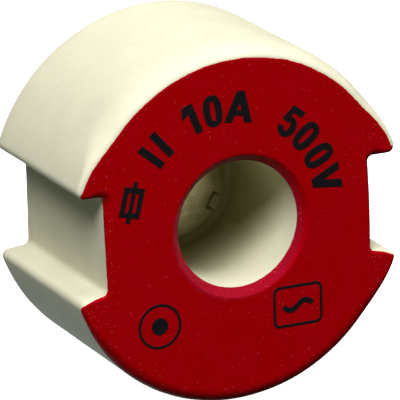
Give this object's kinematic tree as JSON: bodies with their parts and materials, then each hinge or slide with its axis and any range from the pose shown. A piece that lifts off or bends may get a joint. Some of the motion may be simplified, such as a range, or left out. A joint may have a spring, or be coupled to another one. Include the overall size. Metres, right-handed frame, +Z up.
{
  "type": "fuse gauge screw",
  "caption": "Gauge screw for a bottle-fuse base: slotted ceramic body with a red face, a gauge bore, a contact plate at its bottom and a threaded stud behind.",
  "frame": {"origin": "middle of the body's back face, where the screw axis meets the plane that seats on the fuse base", "axes": "+Y along the screw axis, out of the back where the stud points; the coloured face looks towards -Y; the key slots are at -X and +X; +Z up"},
  "size_m": [0.0216, 0.0198, 0.023],
  "materials": {
    "steatite": "unglazed cream steatite, fired and fine-grained",
    "red_enamel": "semi-matt dark red colour coat with black print",
    "plated_brass": "matt plated sheet with fine specks",
    "bare_brass": "turned, slightly dulled"
  },
  "bodies": {
    "root": {"ceramic_body": "steatite", "face_coat": "red_enamel", "contact_plate": "plated_brass", "threaded_stud": "bare_brass"}
  },
  "joints": []
}
